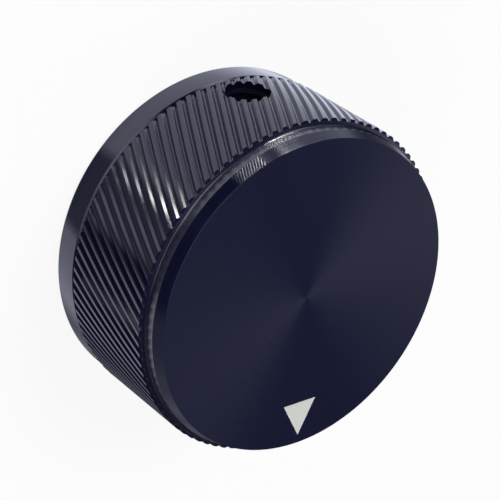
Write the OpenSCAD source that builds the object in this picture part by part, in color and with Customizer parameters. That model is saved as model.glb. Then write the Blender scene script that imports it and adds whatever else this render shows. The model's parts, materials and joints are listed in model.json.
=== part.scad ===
// Turned control knob for a round shaft: plain back flange, helical knurl, smooth land and
// chamfered face with an inlaid pointer. One screw through the side clamps it on the shaft.
// The origin is the centre of the back face and +Z runs along the shaft's axis to the face.
// The screw lies along +Y, and the pointer is opposite it, at -Y.

/* [Knob] */
// Height from the back face to the front face
knob_h = 16; // [14:0.5:24]
// Diameter over the crests of the knurl
knurl_d = 32; // [28:0.5:40]

/* [Back flange] */
// How far the plain flange lies below the knurl's crests, on the radius
flange_drop = 0.15; // [0.05:0.05:0.5]
// Width of the flange along the axis
flange_h = 2.85; // [2.4:0.05:3.3]
// Bevel on the flange's front edge
flange_bevel = 0.15; // [0.05:0.05:0.3]
// Radius of the flange's back edge
back_round = 0.45; // [0.1:0.05:1]
// Width of the turned neck between the flange and the knurl
neck_w = 0.25; // [0.1:0.05:0.5]

/* [Knurl] */
// Number of ridges
ridge_count = 94; // [60:1:110]
// Angle of the ridges from the axis, right-handed
helix_angle = 28.5; // [0:0.5:40]
// Depth of the grooves
groove_depth = 0.27; // [0.15:0.01:0.4]
// Width of a groove at its floor
groove_w = 0.2; // [0.1:0.01:0.25]
// Width of a ridge over its crest
crest_w = 0.48; // [0.3:0.01:0.6]
// Bevel on the two edges of a crest
crest_edge = 0.07; // [0.02:0.01:0.12]
// Place of the first ridge round the axis, at the knurl's back end
first_ridge = 90.8; // [0:0.1:180]
// Number of straight steps that each ridge's curve is made of
ridge_steps = 5; // [3:1:8]

/* [Front] */
// How far the land in front of the knurl, and the neck behind it, lie below the crests
land_drop = 0.65; // [0.55:0.05:1.5]
// Width of the land along the axis
land_h = 1.03; // [0.5:0.01:2]
// Size of the cove where the land meets the knurl's end
cove = 0.2; // [0.1:0.05:0.3]
// Width of the chamfer along the axis
chamfer_h = 1.1; // [0.5:0.1:2]
// Width of the chamfer on the radius
chamfer_drop = 0.35; // [0.2:0.05:1]
// Bevel on the edge of the front face
face_bevel = 0.12; // [0.04:0.02:0.3]

/* [Pointer] */
// Width of the pointer's base
pointer_w = 3.5; // [2:0.1:5]
// Length of the pointer from its base to its tip
pointer_len = 3.45; // [2:0.05:6]
// Distance of the tip from the edge of the face
pointer_inset = 0.85; // [0.4:0.05:3]
// Depth of the engraving that the enamel fills
pointer_depth = 0.3; // [0.2:0.05:1]

/* [Shaft bore] */
// Diameter of the shaft
shaft_d = 6; // [4:0.05:8]
// Gap between the shaft and the bore, on the radius
shaft_clearance = 0.03; // [0.01:0.01:0.05]
// Depth of the bore's straight wall from the back face
bore_depth = 12; // [10:0.5:12.5]
// Full angle of the drill's point at the bore's end
drill_angle = 118; // [90:1:140]
// Chamfer at the mouth of the bore
bore_chamfer = 0.3; // [0.1:0.1:0.8]
// Diameter of the recess for the nut behind the knob
recess_d = 14; // [10:0.5:20]
// Depth of the recess
recess_h = 2; // [1:0.1:3]

/* [Set screw] */
// Thread diameter of the set screw
screw_d = 4; // [3:0.5:5]
// Length of the set screw
screw_len = 8; // [5:0.5:10]
// Height of the screw's axis above the back face
screw_z = 5.9; // [5.7:0.1:9]
// Gap between the screw and its threaded hole, on the radius
thread_clearance = 0.05; // [0.02:0.01:0.1]
// Distance of the screw's tip from the wall of the bore
screw_setback = 0.3; // [0.1:0.1:1]
// Width of the hexagon socket across its flats
key_w = 2; // [1.5:0.1:2.5]
// Depth of the hexagon socket
key_depth = 2.5; // [1:0.1:4]
// Diameter of the rim of the cup point
cup_d = 2; // [1.2:0.1:2.6]
// Depth of the cup
cup_depth = 0.6; // [0.3:0.1:1]
// Chamfer round the socket's end of the screw
screw_chamfer = 0.3; // [0.1:0.05:0.4]

/* [Hidden] */
$fn = 96;
black_anodised = "#202136";
white_enamel = "#d8dad5";
black_steel = "#2b2b30";
knurl_r = knurl_d / 2;
flange_r = knurl_r - flange_drop;
land_r = knurl_r - land_drop;
face_r = land_r - chamfer_drop;
pointer_tip_r = face_r - pointer_inset;
pointer_base_r = pointer_tip_r - pointer_len;
bore_r = shaft_d / 2 + shaft_clearance;
drill_tip_h = bore_r / tan(drill_angle / 2);
screw_r = screw_d / 2;
screw_hole_r = screw_r + thread_clearance;
screw_tip_y = bore_r + screw_setback;
knurl_start = flange_h + neck_w;
land_end = knob_h - chamfer_h;
knurl_end = land_end - land_h;
knurl_h = knurl_end - knurl_start;
degrees_per_mm = 180 / PI / knurl_r;
ridge_twist = knurl_h * tan(helix_angle) * degrees_per_mm;
ridge_pitch = 360 / ridge_count;
// The ends of a ridge's two flanks, as angles from its middle
crest_angle = crest_w / 2 * degrees_per_mm;
flank_foot = (ridge_pitch - groove_w * degrees_per_mm) / 2;
edge_angle = crest_edge * degrees_per_mm;
// Steps in the arc of the back edge
round_steps = 6;
// How far a cutting shape runs past the surface that it opens
overcut = 1;

function polar(radius, angle) = radius * [cos(angle), sin(angle)];

// Section of one ridge, from the foot of one flank to the foot of the other
function ridge_section(middle) = [
    polar(knurl_r - groove_depth, middle - flank_foot),
    polar(knurl_r - crest_edge, middle - crest_angle),
    polar(knurl_r, middle - crest_angle + edge_angle),
    polar(knurl_r, middle + crest_angle - edge_angle),
    polar(knurl_r - crest_edge, middle + crest_angle),
    polar(knurl_r - groove_depth, middle + flank_foot)
];

// Ring of ridges that wind round the axis
module knurl() {
    outline = [for (i = [0 : ridge_count - 1]) each ridge_section(first_ridge + i * ridge_pitch)];
    translate([0, 0, knurl_start])
        linear_extrude(height = knurl_h, twist = -ridge_twist, slices = ridge_steps)
            polygon(outline);
}

// Everything that is turned: flange, neck, cove, land, chamfer and face
module turned_blank() {
    back_edge = [
        for (i = [0 : round_steps])
            [flange_r - back_round, back_round] + polar(back_round, -90 + 90 * i / round_steps)
    ];
    rotate_extrude()
        polygon(concat(
            [[0, 0]],
            back_edge,
            [
                [flange_r, flange_h - flange_bevel],
                [flange_r - flange_bevel, flange_h],
                [land_r, flange_h],
                [land_r, knurl_end - cove / 2],
                [land_r + cove, knurl_end - cove / 2],
                [land_r, knurl_end + cove / 2],
                [land_r, land_end],
                [face_r, knob_h - face_bevel],
                [face_r - face_bevel, knob_h],
                [0, knob_h]
            ]
        ));
}

// Hollow in the back: the recess for the nut, and the drilled bore for the shaft
module shaft_hollow() {
    rotate_extrude()
        polygon([
            [0, -overcut],
            [recess_d / 2, -overcut],
            [recess_d / 2, recess_h],
            [bore_r + bore_chamfer, recess_h],
            [bore_r, recess_h + bore_chamfer],
            [bore_r, bore_depth],
            [0, bore_depth + drill_tip_h]
        ]);
}

module pointer_outline() {
    polygon([
        [-pointer_w / 2, -pointer_base_r],
        [0, -pointer_tip_r],
        [pointer_w / 2, -pointer_base_r]
    ]);
}

// Turns a shape that stands on +Z so that it stands on +Y at the screw's height
module along_screw() {
    translate([0, 0, screw_z])
        rotate([-90, 0, 0])
            children();
}

module knob_body() {
    color(black_anodised)
        difference() {
            union() {
                turned_blank();
                knurl();
            }
            shaft_hollow();
            along_screw()
                cylinder(r = screw_hole_r, h = knurl_r + overcut);
            translate([0, 0, knob_h - pointer_depth])
                linear_extrude(height = pointer_depth + overcut)
                    pointer_outline();
        }
}

module pointer_infill() {
    color(white_enamel)
        translate([0, 0, knob_h - pointer_depth])
            linear_extrude(height = pointer_depth)
                pointer_outline();
}

module set_screw() {
    point_h = screw_r - cup_d / 2;
    color(black_steel)
        along_screw()
            translate([0, 0, screw_tip_y])
                difference() {
                    rotate_extrude()
                        polygon([
                            [0, cup_depth],
                            [cup_d / 2, 0],
                            [screw_r, point_h],
                            [screw_r, screw_len - screw_chamfer],
                            [screw_r - screw_chamfer, screw_len],
                            [0, screw_len]
                        ]);
                    translate([0, 0, screw_len - key_depth])
                        cylinder(d = key_w / cos(30), h = key_depth + overcut, $fn = 6);
                }
}

knob_body();
pointer_infill();
set_screw();
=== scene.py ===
"""Looks of a turned control knob: black anodised aluminium with a helical knurl, a white enamel
pointer let into its face, and a blackened set screw in a tapped hole. Sizes are in millimetres."""
import json
import math

import bpy
import numpy as np
from mathutils import Matrix, Vector


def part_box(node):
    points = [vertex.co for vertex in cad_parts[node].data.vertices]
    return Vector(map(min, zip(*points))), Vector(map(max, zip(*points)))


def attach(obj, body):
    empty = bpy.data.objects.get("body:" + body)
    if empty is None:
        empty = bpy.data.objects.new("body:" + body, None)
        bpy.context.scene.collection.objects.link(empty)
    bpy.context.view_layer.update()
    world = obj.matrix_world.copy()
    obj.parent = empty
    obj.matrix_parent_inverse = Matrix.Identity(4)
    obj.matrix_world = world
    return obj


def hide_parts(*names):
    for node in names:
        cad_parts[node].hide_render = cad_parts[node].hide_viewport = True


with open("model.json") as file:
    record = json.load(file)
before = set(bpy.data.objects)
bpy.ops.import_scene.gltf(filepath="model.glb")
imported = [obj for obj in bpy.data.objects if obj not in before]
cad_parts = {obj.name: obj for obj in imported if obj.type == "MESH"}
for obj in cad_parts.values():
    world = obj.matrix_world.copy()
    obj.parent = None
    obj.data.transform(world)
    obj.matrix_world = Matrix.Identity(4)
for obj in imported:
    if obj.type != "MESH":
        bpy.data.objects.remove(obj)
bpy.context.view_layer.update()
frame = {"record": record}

MM = 0.001

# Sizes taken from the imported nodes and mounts
body_low, body_high = (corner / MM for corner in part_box("knob_body"))
pointer_low, pointer_high = (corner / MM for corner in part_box("pointer_infill"))
screw_low, screw_high = (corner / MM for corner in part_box("set_screw"))
mount_sizes = {mount["name"]: mount["dims"] for mount in frame["record"]["mounts"]}
# A hair inside the solids, so that rounding keeps the finished pieces within their box
HAIR = 0.001
KNOB_H = body_high.z - HAIR
KNURL_R = min(body_high.x, body_high.y, -body_low.x, -body_low.y) - HAIR
BORE_R = mount_sizes["shaft_bore"]["r_mm"]
RECESS_R = mount_sizes["nut_recess"]["r_mm"]
RECESS_H = mount_sizes["nut_recess"]["length_mm"]
SCREW_R = (screw_high.x - screw_low.x) / 2
SCREW_Z = (screw_high.z + screw_low.z) / 2

# Back flange. A drop is how far a band lies below the one beside it, on the radius
FLANGE_DROP = 0.15
FLANGE_R = KNURL_R - FLANGE_DROP
FLANGE_H = 2.85
FLANGE_BEVEL = 0.15
BACK_ROUND = 0.45
NECK_W = 0.25

# Knurl, with the rounding of its crests and groove floors and the bevels at the ends of its ridges
RIDGES = 94
HELIX = math.radians(28.5)
GROOVE_DEPTH = 0.25
GROOVE_W = 0.14
CREST_W = 0.4
CREST_ROUND = 0.12
FLOOR_ROUND = 0.1
FIRST_RIDGE = math.radians(90.8)
RIDGE_END_BEVEL = 0.06
FRONT_BEVEL = 0.1

# Front of the knob
LAND_DROP = 0.65
LAND_R = KNURL_R - LAND_DROP
LAND_H = 1.03
COVE = 0.2
CHAMFER_H = 1.1
CHAMFER_DROP = 0.35
FACE_R = LAND_R - CHAMFER_DROP
FACE_BEVEL = 0.015

# Shaft bore
BORE_DEPTH = 12.0
BORE_CHAMFER = 0.3
DRILL_ANGLE = math.radians(118)

# Tapped hole and set screw: a metric coarse thread
THREAD_PITCH = 0.7
THREAD_DEPTH = 0.38
THREAD_GAP = 0.05
# The groove is a clipped wave, which leaves flat crests and roots between its flanks
THREAD_STEEPNESS = 1.5
THREAD_CREST = 0.2
# Where the hole's cutter starts, off the knob's axis, and how far the thread ends below the crests
HOLE_START = 0.5
HOLE_MOUTH = 0.5
KEY_W = 2.0
KEY_DEPTH = 2.5
CUP_R = 1.0
CUP_DEPTH = 0.6
# The cup leaves a narrow rim round it, and its cone ends just short of a point
CUP_MOUTH_SHARE = 0.9
CUP_CONE_SHARE = 0.98
SCREW_CHAMFER = 0.3
# How far a cutting shape runs past the surface that it opens
OVERCUT = 1.0
# Points nearer than this are welded where the sectors of the knob meet
WELD = 0.0005

# Enamel pointer: its surface dips from the engraving's edge over a narrow rim
ENAMEL_DIP = 0.05
ENAMEL_RIM = 0.25

# Steps of the meshes: in arcs, in the rounding and along the helix of a ridge, across the face, along a
# turn of the thread and round it, and along a side of the enamel
ARC_STEPS = 6
ROUND_STEPS = 4
RIDGE_STEPS = 8
FACE_RINGS = 2
THREAD_STEPS = 8
ROD_SIDES = 48
ENAMEL_STEPS = 16
# Edges that turn by more than this many degrees stay crisp
CRISP = 17

# Derived heights, as the lathe cuts them
KNURL_START = FLANGE_H + NECK_W
LAND_END = KNOB_H - CHAMFER_H
KNURL_END = LAND_END - LAND_H
RIDGE_PITCH = math.tau * KNURL_R / RIDGES
TURN_PER_MM = math.tan(HELIX) / KNURL_R

# Zones of the knob's skin, by finish. The land's zone takes in the cove and the shoulder behind it
BANDS, KNURL, LAND, FACE = range(4)


def linear(hex_colour):
    """Linear RGBA of an sRGB hex colour."""
    channels = [int(hex_colour[i:i + 2], 16) / 255 for i in (1, 3, 5)]
    return [c / 12.92 if c <= 0.04045 else ((c + 0.055) / 1.055) ** 2.4 for c in channels] + [1.0]


def add(tree, kind, inputs=None, **settings):
    """Adds a node with its settings. An input is a value, or the socket that it is linked to."""
    node = tree.nodes.new(kind)
    for name, value in settings.items():
        setattr(node, name, value)
    for socket, value in (inputs or {}).items():
        if isinstance(value, bpy.types.NodeSocket):
            tree.links.new(value, node.inputs[socket])
        else:
            node.inputs[socket].default_value = value
    return node


# Materials

# Relief of the tool's lines, in millimetres, and how far they spread the roughness each way
LINE_HEIGHT = 0.0006
LINE_GLOSS = 0.04
# Share of a turn from the lines to the way in which they draw the gloss out
ACROSS_LINES = 0.25
# Grain and relief of the enamel and of the steel's skin, in millimetres
ENAMEL_GRAIN = 0.8
ENAMEL_RELIEF = 0.01
STEEL_GRAIN = 0.3
STEEL_RELIEF = 0.004
# Place and half width of the stretch where the tool chattered, and the pitch, slope and height of its
# marks
CHATTER_ANGLE = math.radians(115)
CHATTER_HALF = math.radians(6.5)
CHATTER_MM = 0.28
CHATTER_SLANT = 0.45
CHATTER_HEIGHT = 0.012
# How much rougher the metal is there
CHATTER_DULL = 0.29


def new_material(name):
    material = bpy.data.materials.new(name)
    material.use_nodes = True
    material.node_tree.nodes.clear()
    return material, material.node_tree


def black_anodised(name, lines_mm, roughness, anisotropy, ridges=False, chatter=False,
                   dye_and_shade_colours=("#10122c", "#141633"), ior=1.65):
    """Aluminium, turned or knurled, then anodised and dyed black.

    The eye sees the dyed oxide film: blue-black in its depth, with the clear gloss of a hard
    ceramic, drawn out by the fine lines that the tool left. The lines are drawn a few times
    coarser than real ones, which no picture of the whole knob could show. They run round the axis,
    or along the ridges. The index of refraction stands for how brightly the oxide shines there."""
    material, tree = new_material(name)
    place = add(tree, "ShaderNodeTexCoord").outputs["Object"]
    axes = add(tree, "ShaderNodeSeparateXYZ", {0: place}).outputs
    flat = add(tree, "ShaderNodeCombineXYZ", {"X": axes["X"], "Y": axes["Y"]}).outputs[0]
    radius = add(tree, "ShaderNodeVectorMath", {0: flat}, operation="LENGTH").outputs["Value"]
    angle = add(tree, "ShaderNodeMath", {0: axes["Y"], 1: axes["X"]}, operation="ARCTAN2").outputs[0]
    profile = add(tree, "ShaderNodeMath", {0: radius, 1: axes["Z"]}, operation="SUBTRACT").outputs[0]
    across = profile
    if ridges:
        turn = add(tree, "ShaderNodeMath", {0: axes["Z"], 1: TURN_PER_MM / MM},
                   operation="MULTIPLY").outputs[0]
        phase = add(tree, "ShaderNodeMath", {0: angle, 1: turn}, operation="SUBTRACT").outputs[0]
        across = add(tree, "ShaderNodeMath", {0: phase, 1: KNURL_R * MM}, operation="MULTIPLY").outputs[0]
    lines = add(tree, "ShaderNodeTexNoise", {"W": across, "Scale": 1 / (lines_mm * MM), "Detail": 2.0},
                noise_dimensions="1D").outputs[0]
    # Mixes the two colours along the tool's lines. For the tapped hole the darker pair is painted shade for
    # its shadowed inside, not a different dye
    tint = add(tree, "ShaderNodeMix", {0: lines, 6: linear(dye_and_shade_colours[0]), 7: linear(dye_and_shade_colours[1])},
               data_type="RGBA").outputs[2]
    gloss = add(tree, "ShaderNodeMapRange",
                {"Value": lines, "To Min": roughness - LINE_GLOSS,
                 "To Max": roughness + LINE_GLOSS}).outputs[0]
    normal = add(tree, "ShaderNodeBump",
                 {"Height": lines, "Strength": 1.0, "Distance": LINE_HEIGHT * MM}).outputs[0]
    if chatter:
        off = add(tree, "ShaderNodeMath", {0: angle, 1: CHATTER_ANGLE}, operation="SUBTRACT").outputs[0]
        far = add(tree, "ShaderNodeMath", {0: off}, operation="ABSOLUTE").outputs[0]
        there = add(tree, "ShaderNodeMapRange",
                    {"Value": far, "From Min": CHATTER_HALF, "From Max": CHATTER_HALF / 2},
                    interpolation_type="SMOOTHSTEP").outputs[0]
        round_it = add(tree, "ShaderNodeMath", {0: off, 1: math.tau * LAND_R / CHATTER_MM},
                       operation="MULTIPLY").outputs[0]
        slant = add(tree, "ShaderNodeMath", {0: profile, 1: math.tau * CHATTER_SLANT / (CHATTER_MM * MM)},
                    operation="MULTIPLY").outputs[0]
        both = add(tree, "ShaderNodeMath", {0: round_it, 1: slant}, operation="ADD").outputs[0]
        wave = add(tree, "ShaderNodeMath", {0: both}, operation="SINE").outputs[0]
        front = add(tree, "ShaderNodeMath", {0: axes["Z"], 1: KNURL_END * MM},
                    operation="GREATER_THAN").outputs[0]
        window = add(tree, "ShaderNodeMath", {0: there, 1: front}, operation="MULTIPLY").outputs[0]
        marks = add(tree, "ShaderNodeMath", {0: wave, 1: window}, operation="MULTIPLY").outputs[0]
        normal = add(tree, "ShaderNodeBump", {"Height": marks, "Strength": 1.0,
                                              "Distance": CHATTER_HEIGHT * MM, "Normal": normal}).outputs[0]
        gloss = add(tree, "ShaderNodeMath", {0: window, 1: CHATTER_DULL, 2: gloss},
                    operation="MULTIPLY_ADD").outputs[0]
    along = add(tree, "ShaderNodeVectorMath", {0: (0, 0, 1), 1: flat}, operation="CROSS_PRODUCT").outputs[0]
    surface = add(tree, "ShaderNodeBsdfPrincipled", {
        "Base Color": tint, "Roughness": gloss, "IOR": ior, "Anisotropic": anisotropy,
        "Anisotropic Rotation": ACROSS_LINES, "Tangent": along, "Normal": normal})
    add(tree, "ShaderNodeOutputMaterial", {"Surface": surface.outputs[0]})
    return material


def white_enamel():
    """White enamel, filled into the engraving and baked: a smooth, slightly warm white with a soft gloss."""
    material, tree = new_material("white_baked_enamel")
    place = add(tree, "ShaderNodeTexCoord").outputs["Object"]
    mottle = add(tree, "ShaderNodeTexNoise", {"Vector": place, "Scale": 1 / (ENAMEL_GRAIN * MM)}).outputs[0]
    tint = add(tree, "ShaderNodeMix", {0: mottle, 6: linear("#d3d5cf"), 7: linear("#dddfdb")},
               data_type="RGBA").outputs[2]
    bump = add(tree, "ShaderNodeBump", {"Height": mottle, "Distance": ENAMEL_RELIEF * MM}).outputs[0]
    surface = add(tree, "ShaderNodeBsdfPrincipled",
                  {"Base Color": tint, "Roughness": 0.35, "IOR": 1.5, "Normal": bump})
    add(tree, "ShaderNodeOutputMaterial", {"Surface": surface.outputs[0]})
    return material


def black_steel():
    """Alloy steel, rolled, hardened and blackened in hot salts: a grey-black skin with an oiled sheen."""
    material, tree = new_material("blackened_alloy_steel")
    place = add(tree, "ShaderNodeTexCoord").outputs["Object"]
    skin = add(tree, "ShaderNodeTexNoise",
               {"Vector": place, "Scale": 1 / (STEEL_GRAIN * MM), "Detail": 4.0}).outputs[0]
    tint = add(tree, "ShaderNodeMix", {0: skin, 6: linear("#2b2b30"), 7: linear("#3d3c40")},
               data_type="RGBA").outputs[2]
    gloss = add(tree, "ShaderNodeMapRange", {"Value": skin, "To Min": 0.3, "To Max": 0.5}).outputs[0]
    bump = add(tree, "ShaderNodeBump", {"Height": skin, "Distance": STEEL_RELIEF * MM}).outputs[0]
    surface = add(tree, "ShaderNodeBsdfPrincipled",
                  {"Base Color": tint, "Metallic": 1.0, "Roughness": gloss, "Normal": bump})
    add(tree, "ShaderNodeOutputMaterial", {"Surface": surface.outputs[0]})
    return material


TURNED = black_anodised("black_anodised_turned_bands", lines_mm=0.25, roughness=0.09, anisotropy=0.3,
                        chatter=True)
# The tapped hole: its darker colours are painted shade for the hole's inside, and its rougher gloss and
# lower index of refraction keep the thread from shining
HOLE_PAINTED_SHADE = black_anodised("black_anodised_tapped_hole_painted_shade", lines_mm=0.2, roughness=0.5, anisotropy=0.0,
                        dye_and_shade_colours=("#07081a", "#0a0b20"), ior=1.2)
KNURLED = black_anodised("black_anodised_cut_knurl", lines_mm=0.1, roughness=0.11, anisotropy=0.2,
                         ridges=True)
BURNISHED = black_anodised("black_anodised_burnished_land", lines_mm=0.3, roughness=0.26, anisotropy=0.9,
                           ior=2.3)
FACED = black_anodised("black_anodised_turned_face", lines_mm=0.3, roughness=0.29, anisotropy=0.9)
ENAMEL = white_enamel()
STEEL = black_steel()


# Shapes


def mesh_object(name, vertices, faces, material=None):
    """New object in the scene, from a mesh in millimetres."""
    mesh = bpy.data.meshes.new(name)
    mesh.from_pydata([Vector(v) * MM for v in vertices], [], faces)
    mesh.update()
    if material:
        mesh.materials.append(material)
    piece = bpy.data.objects.new(name, mesh)
    bpy.context.scene.collection.objects.link(piece)
    return piece


def made_plain(piece):
    """Turns the piece's modifiers into plain mesh and removes them."""
    shown = piece.evaluated_get(bpy.context.evaluated_depsgraph_get())
    mesh = bpy.data.meshes.new_from_object(shown)
    piece.modifiers.clear()
    old = piece.data
    piece.data = mesh
    bpy.data.meshes.remove(old)


def finish_piece(piece, node):
    """Gives the piece its crisp edges and puts it in the place of the CAD node."""
    piece.data.shade_smooth()
    piece.data.set_sharp_from_angle(angle=math.radians(CRISP))
    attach(piece, "root")
    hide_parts(node)


def ring_of_sectors():
    """Tree that repeats one sector of the knob round its axis, welds the sectors and sets their finishes."""
    tree = bpy.data.node_groups.new("ring_of_sectors", "GeometryNodeTree")
    tree.interface.new_socket("Geometry", in_out="OUTPUT", socket_type="NodeSocketGeometry")
    kinds = {"Geometry": "Geometry", "Sectors": "Int", "Weld": "Float",
             "Bands": "Material", "Knurl": "Material", "Land": "Material", "Face": "Material"}
    for label, kind in kinds.items():
        tree.interface.new_socket(label, in_out="INPUT", socket_type="NodeSocket" + kind)
    given = add(tree, "NodeGroupInput").outputs
    points = add(tree, "GeometryNodePoints", {"Count": given["Sectors"]}).outputs[0]
    index = add(tree, "GeometryNodeInputIndex").outputs[0]
    step = add(tree, "ShaderNodeMath", {0: math.tau, 1: given["Sectors"]}, operation="DIVIDE").outputs[0]
    angle = add(tree, "ShaderNodeMath", {0: index, 1: step}, operation="MULTIPLY").outputs[0]
    turn = add(tree, "ShaderNodeCombineXYZ", {"Z": angle}).outputs[0]
    turned = add(tree, "FunctionNodeEulerToRotation", {0: turn}).outputs[0]
    ring = add(tree, "GeometryNodeInstanceOnPoints",
               {"Points": points, "Instance": given["Geometry"], "Rotation": turned}).outputs[0]
    whole = add(tree, "GeometryNodeRealizeInstances", {0: ring}).outputs[0]
    skin = add(tree, "GeometryNodeMergeByDistance", {0: whole, "Distance": given["Weld"]}).outputs[0]
    zone = add(tree, "GeometryNodeInputNamedAttribute", {"Name": "zone"}, data_type="INT").outputs[0]
    for label, number in (("Bands", BANDS), ("Knurl", KNURL), ("Land", LAND), ("Face", FACE)):
        here = add(tree, "FunctionNodeCompare", {2: zone, 3: number},
                   data_type="INT", operation="EQUAL").outputs[0]
        skin = add(tree, "GeometryNodeSetMaterial",
                   {0: skin, "Selection": here, "Material": given[label]}).outputs[0]
    add(tree, "NodeGroupOutput", {0: skin})
    return tree


def set_tree(piece, tree, **inputs):
    """Adds a Geometry Nodes tree to the piece and sets its named inputs."""
    modifier = piece.modifiers.new(tree.name, "NODES")
    modifier.node_group = tree
    for item in tree.interface.items_tree:
        if item.in_out == "INPUT" and item.name in inputs:
            modifier[item.identifier] = inputs[item.name]


def ridge_section():
    """Half a ridge's section as (distance from its middle, drop below the crest), crest first."""
    crest = CREST_W / 2
    foot = (RIDGE_PITCH - GROOVE_W) / 2
    flank = math.atan2(GROOVE_DEPTH, foot - crest)
    turns = np.linspace(0, flank, ROUND_STEPS + 1)
    crest_end = crest - CREST_ROUND * math.tan(flank / 2)
    floor_start = foot + FLOOR_ROUND * math.tan(flank / 2)
    crest_arc = [(crest_end + CREST_ROUND * math.sin(a), CREST_ROUND * (1 - math.cos(a))) for a in turns]
    floor_arc = [(floor_start - FLOOR_ROUND * math.sin(a), GROOVE_DEPTH - FLOOR_ROUND * (1 - math.cos(a)))
                 for a in reversed(turns)]
    return crest_arc + floor_arc


def knob_sector():
    """One sector of the knob's skin: a ridge, half a groove on each side, and the plain bands beside it."""
    half = ridge_section()
    section = [(-s, d) for s, d in reversed(half)] + half
    section = [(-RIDGE_PITCH / 2, GROOVE_DEPTH)] + section + [(RIDGE_PITCH / 2, GROOVE_DEPTH)]
    angles = np.array([s / KNURL_R for s, _ in section])
    drops = np.array([d for _, d in section])
    rings = []

    def band(r, z, zone=BANDS):
        rings.append((np.full(len(angles), r), z, zone))

    def ridge(z, bevel=0.0):
        crest_share = 1 - drops / GROOVE_DEPTH
        rings.append((KNURL_R - drops - bevel * crest_share, z, KNURL))

    band(0, BORE_DEPTH + BORE_R / math.tan(DRILL_ANGLE / 2))
    band(BORE_R, BORE_DEPTH)
    band(BORE_R, RECESS_H + BORE_CHAMFER)
    band(BORE_R + BORE_CHAMFER, RECESS_H)
    band(RECESS_R, RECESS_H)
    band(RECESS_R, 0)
    for a in np.linspace(-math.pi / 2, 0, ARC_STEPS + 1):
        band(FLANGE_R - BACK_ROUND + BACK_ROUND * math.cos(a), BACK_ROUND + BACK_ROUND * math.sin(a))
    band(FLANGE_R, FLANGE_H - FLANGE_BEVEL)
    band(FLANGE_R - FLANGE_BEVEL, FLANGE_H)
    band(LAND_R, FLANGE_H)
    band(LAND_R, KNURL_START)
    ridge(KNURL_START, RIDGE_END_BEVEL)
    for z in np.linspace(KNURL_START + RIDGE_END_BEVEL, KNURL_END - FRONT_BEVEL, RIDGE_STEPS + 1):
        ridge(z)
    ridge(KNURL_END, GROOVE_DEPTH)
    for a in np.linspace(0, math.pi / 2, ARC_STEPS + 1):
        band(LAND_R + COVE - COVE * math.sin(a), KNURL_END + COVE - COVE * math.cos(a), LAND)
    band(LAND_R, LAND_END, LAND)
    band(FACE_R, KNOB_H - FACE_BEVEL)
    band(FACE_R - FACE_BEVEL, KNOB_H)
    for r in np.linspace(FACE_R - FACE_BEVEL, 0, FACE_RINGS + 1)[1:]:
        band(r, KNOB_H, FACE)

    vertices = []
    for radii, z, _ in rings:
        turn = FIRST_RIDGE + TURN_PER_MM * (min(max(z, KNURL_START), KNURL_END) - KNURL_START)
        vertices += [(r * math.cos(a + turn), r * math.sin(a + turn), z) for r, a in zip(radii, angles)]
    columns = len(angles)
    faces = [(j * columns + i, j * columns + i + 1, (j + 1) * columns + i + 1, (j + 1) * columns + i)
             for j in range(len(rings) - 1) for i in range(columns - 1)]
    sector = mesh_object("knob_skin", vertices, faces)
    zones = [zone for _, _, zone in rings[1:] for _ in range(columns - 1)]
    sector.data.attributes.new("zone", "INT", "FACE").data.foreach_set("value", zones)
    return sector


def thread_cut(y, turn):
    """Depth of the thread's groove at a place along the screw and a share of a turn round it."""
    wave = abs((y / THREAD_PITCH - turn) % 1 - 0.5) * 2
    return THREAD_DEPTH * min(max(THREAD_STEEPNESS * wave - THREAD_CREST, 0), 1)


def thread_places(start, end):
    return np.linspace(start, end, round((end - start) / THREAD_PITCH * THREAD_STEPS) + 1)


def rod(name, places, radius_at, material, around=ROD_SIDES):
    """A closed rod along +Y at the screw's height. Its radius depends on the place along it and the
    share of a turn round it."""
    vertices = []
    for y in places:
        for i in range(around):
            r = radius_at(y, i / around)
            a = math.tau * i / around
            vertices.append((r * math.sin(a), y, SCREW_Z + r * math.cos(a)))
    last = (len(places) - 1) * around
    faces = [(j + i, j + (i + 1) % around, j + around + (i + 1) % around, j + around + i)
             for j in range(0, last, around) for i in range(around)]
    faces.append(tuple(reversed(range(around))))
    faces.append(tuple(last + i for i in range(around)))
    return mesh_object(name, vertices, faces, material)


def cut_away(piece, cutter):
    """Cuts the cutter's shape out of the piece, with its finish on the cut, and removes the cutter."""
    modifier = piece.modifiers.new("cut", "BOOLEAN")
    modifier.operation = "DIFFERENCE"
    modifier.solver = "MANIFOLD"
    modifier.material_mode = "TRANSFER"
    modifier.object = cutter
    made_plain(piece)
    bpy.data.objects.remove(cutter)


def pointer_corners():
    return [(pointer_low.x, pointer_high.y), (0, pointer_low.y), (pointer_high.x, pointer_high.y)]


def engraving():
    vertices = [(x, y, z) for z in (pointer_low.z, KNOB_H + OVERCUT) for x, y in pointer_corners()]
    faces = [(2, 1, 0), (3, 4, 5), (0, 1, 4, 3), (1, 2, 5, 4), (2, 0, 3, 5)]
    return mesh_object("engraving", vertices, faces, TURNED)


def tapped_hole():
    mouth = KNURL_R - HOLE_MOUTH

    def radius_at(y, turn):
        fade = min(max((mouth - y) / THREAD_PITCH, 0), 1)
        return SCREW_R + THREAD_GAP - thread_cut(y, turn) * fade

    return rod("tapped_hole", thread_places(HOLE_START, KNURL_R + OVERCUT), radius_at, HOLE_PAINTED_SHADE)


def knob_body():
    body = knob_sector()
    set_tree(body, ring_of_sectors(), Sectors=RIDGES, Weld=WELD * MM,
             Bands=TURNED, Knurl=KNURLED, Land=BURNISHED, Face=FACED)
    made_plain(body)
    cut_away(body, tapped_hole())
    cut_away(body, engraving())
    finish_piece(body, "knob_body")


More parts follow.
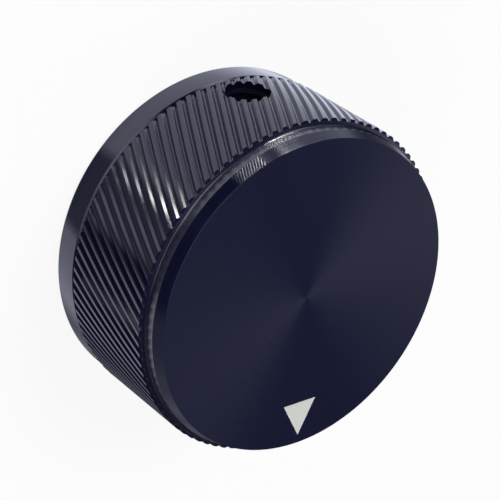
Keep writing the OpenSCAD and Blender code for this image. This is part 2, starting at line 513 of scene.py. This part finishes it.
def pointer_enamel():
    """The enamel in the engraving: it wets the edge and dips a little behind it as it dries."""
    corners = np.array(pointer_corners())
    sides = np.roll(corners, -1, 0) - np.roll(corners, 1, 0)
    (ax, ay), (bx, by) = corners[1] - corners[0], corners[2] - corners[0]
    twice_area = abs(ax * by - ay * bx)
    heights = twice_area / np.linalg.norm(sides, axis=1)
    steps = ENAMEL_STEPS
    places = {}
    vertices = []
    for i in range(steps + 1):
        for j in range(steps + 1 - i):
            share = np.array([i, j, steps - i - j]) / steps
            inward = min(np.min(share * heights) / ENAMEL_RIM, 1)
            dip = ENAMEL_DIP * inward * (2 - inward)
            places[i, j] = len(vertices)
            vertices.append((*(share @ corners), KNOB_H - HAIR - dip))
    faces = []
    for i in range(steps):
        for j in range(steps - i):
            faces.append((places[i, j], places[i + 1, j], places[i, j + 1]))
            if j < steps - i - 1:
                faces.append((places[i + 1, j], places[i + 1, j + 1], places[i, j + 1]))
    edge = [places[i, 0] for i in range(steps)]
    edge += [places[steps - j, j] for j in range(steps)]
    edge += [places[0, steps - i] for i in range(steps)]
    first = len(vertices)
    vertices += [(*vertices[k][:2], pointer_low.z) for k in edge]
    count = len(edge)
    faces += [(edge[(k + 1) % count], edge[k], first + k, first + (k + 1) % count) for k in range(count)]
    faces.append(tuple(first + k for k in reversed(range(count))))
    enamel = mesh_object("pointer_enamel", vertices, faces, ENAMEL)
    finish_piece(enamel, "pointer_infill")


def set_screw():
    """Socket set screw: a rolled thread, a hexagon socket at its outer end and a cup point at its tip."""
    tip, end = screw_low.y + HAIR, screw_high.y - HAIR
    outline_y = [tip, tip + SCREW_R - CUP_R, end - SCREW_CHAMFER, end]
    outline_r = [CUP_R, SCREW_R - HAIR, SCREW_R - HAIR, SCREW_R - SCREW_CHAMFER]

    def radius_at(y, turn):
        return min(np.interp(y, outline_y, outline_r), SCREW_R - HAIR - thread_cut(y, turn))

    screw = rod("socket_set_screw", thread_places(tip, end), radius_at, STEEL)
    key_r = KEY_W / 2 / math.cos(math.pi / 6)
    cut_away(screw, rod("key", [end - KEY_DEPTH, end + OVERCUT], lambda y, turn: key_r, STEEL, around=6))
    cup_slope = CUP_R * CUP_MOUTH_SHARE / CUP_DEPTH
    cut_away(screw, rod("cup", [tip - OVERCUT, tip + CUP_DEPTH * CUP_CONE_SHARE],
                        lambda y, turn: (tip + CUP_DEPTH - y) * cup_slope, STEEL))
    finish_piece(screw, "set_screw")


knob_body()
pointer_enamel()
set_screw()


# Floor, light and camera

FLOOR_HALF = 1500
# How much of the floor that the camera sees is its own white
FLOOR_GLOW = 0.9


def pale_floor():
    """Pale paper that the camera sees as white, with the knob's shadow. Gloss looks through it to
    the tent."""
    corners = [(-FLOOR_HALF, -FLOOR_HALF, 0), (FLOOR_HALF, -FLOOR_HALF, 0),
               (FLOOR_HALF, FLOOR_HALF, 0), (-FLOOR_HALF, FLOOR_HALF, 0)]
    floor = mesh_object("floor", corners, [(0, 1, 2, 3)])
    material, tree = new_material("pale_floor")
    path = add(tree, "ShaderNodeLightPath").outputs
    paper = add(tree, "ShaderNodeBsdfDiffuse", {"Color": linear("#f4f4f4")}).outputs[0]
    glow = add(tree, "ShaderNodeEmission", {"Strength": 1.0}).outputs[0]
    seen = add(tree, "ShaderNodeMixShader", {0: FLOOR_GLOW, 1: paper, 2: glow}).outputs[0]
    shown = add(tree, "ShaderNodeMixShader", {0: path["Is Camera Ray"], 1: paper, 2: seen}).outputs[0]
    clear = add(tree, "ShaderNodeBsdfTransparent").outputs[0]
    whole = add(tree, "ShaderNodeMixShader", {0: path["Is Glossy Ray"], 1: shown, 2: clear}).outputs[0]
    add(tree, "ShaderNodeOutputMaterial", {"Surface": whole})
    floor.data.materials.append(material)


def direction(azimuth, elevation):
    """Unit vector towards a place round the knob, from angles in degrees."""
    a, e = math.radians(azimuth), math.radians(elevation)
    return Vector((math.cos(a) * math.cos(e), math.sin(a) * math.cos(e), math.sin(e)))


# Brightness of the white tent below the knob and of the dim room above it, the heights on a unit sphere
# between which one turns into the other, and the brightness of the soft light that is not mirrored
TENT = 1.0
ROOM = 0.05
ROOM_END = -0.3
TENT_START = -0.7
SOFT = 0.35
# Colours of the tent with its cards, and of the glint cards
COOL = "#e6eaff"
WARM = "#fffcf6"
# The tent is brighter behind the knob. The two cosines say where its wall starts to brighten and where
# it is brightest
BEHIND_AZIMUTH = -41
BEHIND = 1.7
BEHIND_START = 0.2
BEHIND_FULL = 0.8
# Gap in the tent's wall, and the share of the light that is left in it
GAP_AZIMUTH = 165
GAP_HALF = 30
GAP_EDGE = 6
GAP_SHARE = 0.2
# Cards round the knob: azimuth, elevation, radius and edge in degrees, and strength. Small bright ones
# make the glints on the ridges, light ones add to the tent, and dark ones take that share of it away
GLINT_CARDS = [
    (73, -10, 4, 1.5, 50.0),
    (65, -11, 4, 2, 16.0),
]
LIGHT_CARDS = [
    (138, 0, 7, 2, 2.5),
    (172, 38, 12, 8, 1.0),
    (53, -16, 25, 6, 0.65),
    (94, -13, 8, 6, 1.2),
    (128, 38, 18, 10, 1.6),
    (59, 29, 8, 5, 3.0),
    (-23, 29, 12, 9, 0.85),
    (233, -15, 35, 10, 0.15),
]
DARK_CARDS = [
    (133, -5, 35, 6, 0.9),
    (-62, -47, 25, 12, 0.85),
    (0, -90, 31, 6, 0.5),
    (-41, -12, 32, 8, 0.95),
    (0, -19, 21, 6, 0.85),
    (-100, -24, 16, 6, 0.6),
]


def card(tree, look, azimuth, elevation, radius, edge, strength):
    """Socket with the strength of a round card with a soft edge, in the direction that is looked at."""
    near = add(tree, "ShaderNodeVectorMath", {0: look, 1: direction(azimuth, elevation)},
               operation="DOT_PRODUCT").outputs["Value"]
    return add(tree, "ShaderNodeMapRange",
               {"Value": near, "From Min": math.cos(math.radians(radius + edge)),
                "From Max": math.cos(math.radians(radius - edge)), "To Min": 0.0, "To Max": strength},
               interpolation_type="SMOOTHSTEP").outputs[0]


def studio_world():
    """Even soft light, and what the gloss mirrors: a white tent with a gap, and a few cards."""
    world = bpy.data.worlds.new("studio")
    bpy.context.scene.world = world
    world.use_nodes = True
    tree = world.node_tree
    tree.nodes.clear()
    path = add(tree, "ShaderNodeLightPath").outputs
    look = add(tree, "ShaderNodeTexCoord").outputs["Generated"]
    axes = add(tree, "ShaderNodeSeparateXYZ", {0: look}).outputs
    flat = add(tree, "ShaderNodeCombineXYZ", {"X": axes["X"], "Y": axes["Y"]}).outputs[0]
    level = add(tree, "ShaderNodeVectorMath", {0: flat}, operation="NORMALIZE").outputs[0]
    behind = add(tree, "ShaderNodeVectorMath", {0: level, 1: direction(BEHIND_AZIMUTH, 0)},
                 operation="DOT_PRODUCT").outputs["Value"]
    wall = add(tree, "ShaderNodeMapRange",
               {"Value": behind, "From Min": BEHIND_START, "From Max": BEHIND_FULL,
                "To Min": TENT, "To Max": BEHIND}).outputs[0]
    light = add(tree, "ShaderNodeMapRange",
                {"Value": axes["Z"], "From Min": ROOM_END, "From Max": TENT_START,
                 "To Min": ROOM, "To Max": wall},
                interpolation_type="SMOOTHSTEP").outputs[0]
    facing = add(tree, "ShaderNodeVectorMath", {0: level, 1: direction(GAP_AZIMUTH, 0)},
                 operation="DOT_PRODUCT").outputs["Value"]
    away = add(tree, "ShaderNodeMapRange",
               {"Value": facing, "From Min": math.cos(math.radians(GAP_HALF - GAP_EDGE)),
                "From Max": math.cos(math.radians(GAP_HALF + GAP_EDGE)), "To Min": GAP_SHARE, "To Max": 1.0},
               interpolation_type="SMOOTHSTEP").outputs[0]
    light = add(tree, "ShaderNodeMath", {0: light, 1: away}, operation="MULTIPLY").outputs[0]
    for dark in DARK_CARDS:
        kept = add(tree, "ShaderNodeMath", {0: 1.0, 1: card(tree, look, *dark)},
                   operation="SUBTRACT").outputs[0]
        light = add(tree, "ShaderNodeMath", {0: light, 1: kept}, operation="MULTIPLY").outputs[0]
    for bright in LIGHT_CARDS:
        light = add(tree, "ShaderNodeMath", {0: light, 1: card(tree, look, *bright)},
                    operation="ADD").outputs[0]
    mirrored = add(tree, "ShaderNodeBackground", {"Color": linear(COOL), "Strength": light}).outputs[0]
    for glint in GLINT_CARDS:
        warm = add(tree, "ShaderNodeBackground",
                   {"Color": linear(WARM), "Strength": card(tree, look, *glint)}).outputs[0]
        mirrored = add(tree, "ShaderNodeAddShader", {0: mirrored, 1: warm}).outputs[0]
    soft = add(tree, "ShaderNodeBackground", {"Strength": SOFT}).outputs[0]
    whole = add(tree, "ShaderNodeMixShader", {0: path["Is Glossy Ray"], 1: soft, 2: mirrored}).outputs[0]
    add(tree, "ShaderNodeOutputWorld", {"Surface": whole})
    world.cycles.sampling_method = "NONE"


LAMP_DISTANCE = 600
LAMP_SIZE = 300


def soft_lamp(name, azimuth, elevation, watts):
    """Round lamp that points at the knob. The gloss mirrors the tent and the cards, and not the lamp."""
    light = bpy.data.lights.new(name, "AREA")
    light.shape = "DISK"
    light.size = LAMP_SIZE * MM
    light.energy = watts
    lamp = bpy.data.objects.new(name, light)
    lamp.location = direction(azimuth, elevation) * LAMP_DISTANCE * MM
    lamp.rotation_euler = (-lamp.location).to_track_quat("-Z", "Y").to_euler()
    lamp.visible_glossy = False
    bpy.context.scene.collection.objects.link(lamp)


# Camera, fitted to the circles of the knob in the photograph: its place in millimetres, two of its axes
# and its focal length in pixels of the picture
CAMERA_PLACE = (-99.26, 87.44, 141.15)
CAMERA_UP = (0.23452, 0.88618, -0.39961)
CAMERA_FORWARD = (0.52872, -0.46124, -0.71254)
FOCAL_PIXELS = 2078.8
PICTURE_PIXELS = 500
SENSOR_WIDTH = 36
CLIP_START = 1.0


def photo_camera():
    data = bpy.data.cameras.new("camera")
    data.sensor_width = SENSOR_WIDTH
    data.lens = SENSOR_WIDTH * FOCAL_PIXELS / PICTURE_PIXELS
    data.clip_start = CLIP_START * MM
    camera = bpy.data.objects.new("camera", data)
    back = -Vector(CAMERA_FORWARD)
    up = Vector(CAMERA_UP)
    turn = Matrix((up.cross(back), up, back)).transposed()
    camera.matrix_world = Matrix.Translation(Vector(CAMERA_PLACE) * MM) @ turn.to_4x4()
    bpy.context.scene.collection.objects.link(camera)
    bpy.context.scene.camera = camera


pale_floor()
studio_world()
soft_lamp("key", azimuth=60, elevation=60, watts=1.9)
soft_lamp("fill", azimuth=220, elevation=50, watts=0.9)
photo_camera()
bpy.context.scene.view_settings.view_transform = "Standard"

bpy.context.view_layer.update()
